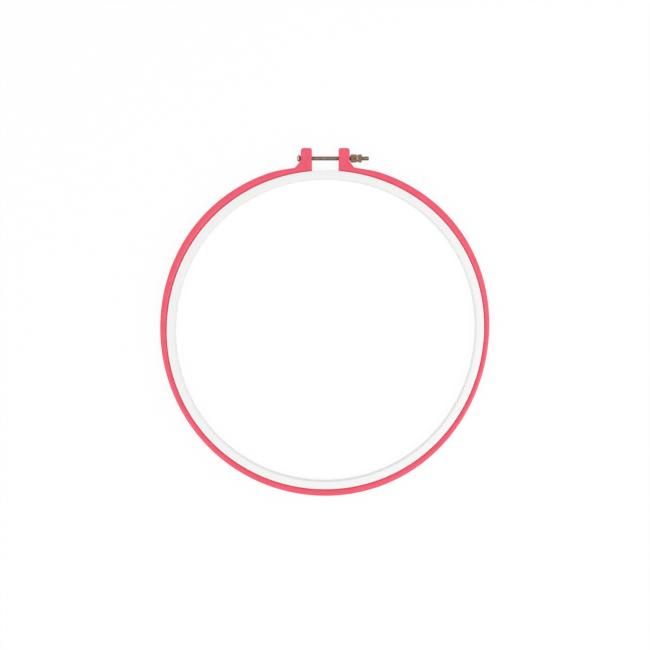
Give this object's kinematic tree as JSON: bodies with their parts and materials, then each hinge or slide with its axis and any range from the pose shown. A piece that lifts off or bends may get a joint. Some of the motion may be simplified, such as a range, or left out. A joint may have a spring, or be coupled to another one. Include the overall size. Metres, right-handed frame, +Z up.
{
  "type": "embroidery hoop",
  "caption": "Round plastic embroidery hoop: a split outer ring with a knurled-nut screw clamp, and a closed inner ring that it grips.",
  "frame": {"origin": "middle of the underside of the whole hoop's box; the rings' own centre is 5.9 mm towards -Y from it", "axes": "+Z up out of the front face, along the rings' axis; +Y from the rings' centre towards the clamp; +X along the clamp screw, from its head to its nut"},
  "size_m": [0.26, 0.2718, 0.0095],
  "materials": {
    "coral_plastic": "semi-gloss moulded coral red plastic",
    "white_plastic": "semi-gloss moulded white plastic",
    "antique_brass": "antique brass plating, worn bright on the knurls"
  },
  "bodies": {
    "ring_left": {"outer_ring_left": "coral_plastic", "clamp_screw": "antique_brass"},
    "ring_right": {"outer_ring_right": "coral_plastic"},
    "nut": {"clamp_nut": "antique_brass"},
    "ring_inner": {"inner_ring": "white_plastic"}
  },
  "joints": [
    {"name": "ring_flex", "type": "hinge", "parent": "ring_left", "child": "ring_right", "pos_m": [0.0239, -0.13089, 0.00475], "axis": [0, 0, -1], "range_deg": [0, 1.16]},
    {"name": "nut_turn", "type": "hinge", "parent": "ring_right", "child": "nut", "pos_m": [0.0239, 0.1283, 0.00475], "axis": [1, 0, 0], "range_deg": [0, 3780]},
    {"name": "inner_ring_lift", "type": "slide", "parent": "ring_left", "child": "ring_inner", "axis": [0, 0, 1], "range_m": [0, 0.02]}
  ],
  "couplings": [
    {"joint": "nut_turn", "follows": "ring_flex", "ratio": 3256.8}
  ]
}
